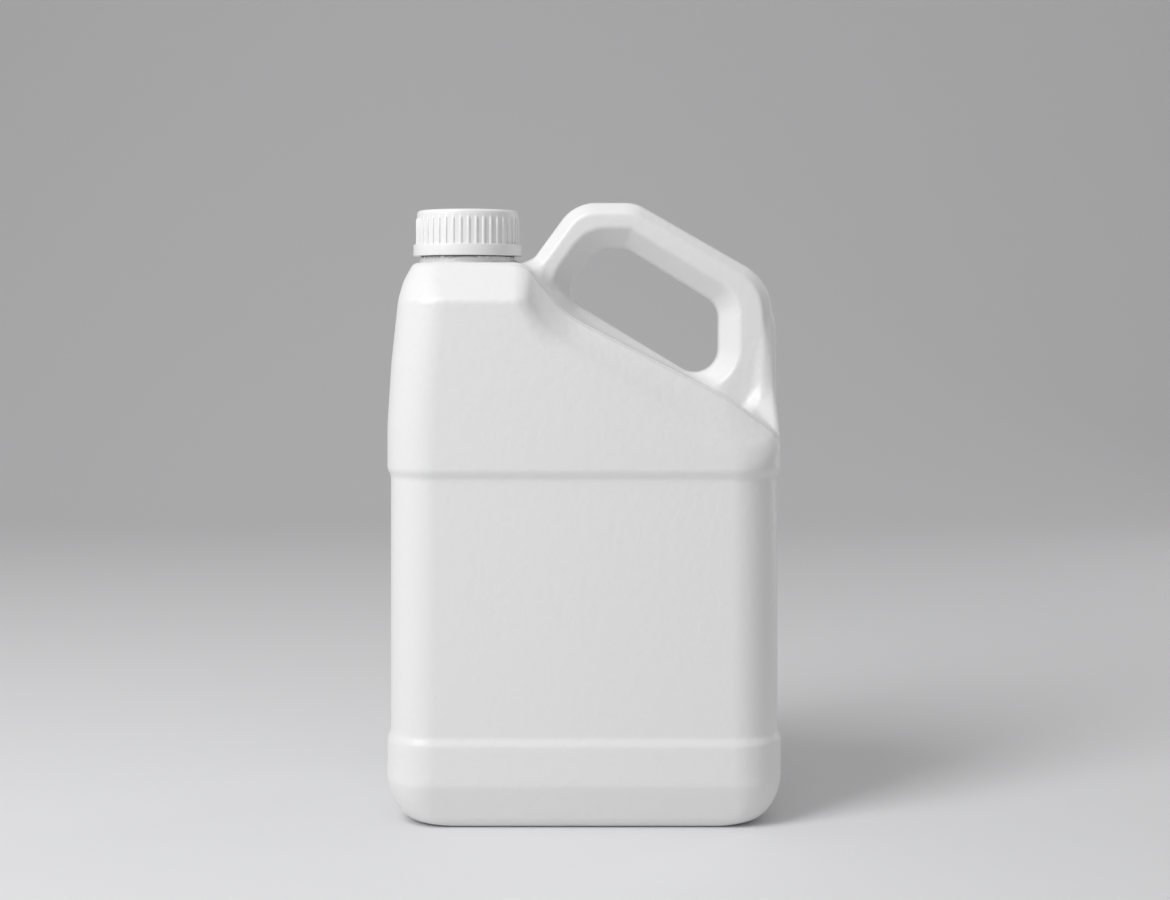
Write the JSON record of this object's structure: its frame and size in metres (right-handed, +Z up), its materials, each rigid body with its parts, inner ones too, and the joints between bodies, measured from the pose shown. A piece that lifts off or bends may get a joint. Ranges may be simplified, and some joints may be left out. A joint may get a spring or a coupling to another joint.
{
  "type": "f-style jug",
  "caption": "White oblong plastic jug with a slanted through-handle, an offset neck and a ribbed screw cap.",
  "frame": {"origin": "under the middle of the base, on the surface the jug stands on", "axes": "+Z up, +X along the wide face from the neck towards the handle, -Y out of the front face"},
  "size_m": [0.1906, 0.12, 0.2995],
  "materials": {
    "body_plastic": "satin, fine moulded grain",
    "cap_plastic": "semi-gloss",
    "liner_foam": "matte foam"
  },
  "bodies": {
    "jug": {"jug_body": "body_plastic"},
    "liner": {"liner": "liner_foam"},
    "cap": {"cap": "cap_plastic"}
  },
  "joints": [
    {"name": "cap_lift", "type": "slide", "parent": "jug", "child": "liner", "axis": [0, 0, 1], "range_m": [0, 0.035]},
    {"name": "cap_turn", "type": "hinge", "parent": "liner", "child": "cap", "pos_m": [-0.0586, 0, 0.284], "axis": [0, 0, 1], "range_deg": [0, 2521]}
  ],
  "couplings": [
    {"joint": "cap_turn", "follows": "cap_lift", "rad_per_m": 1256.6}
  ]
}
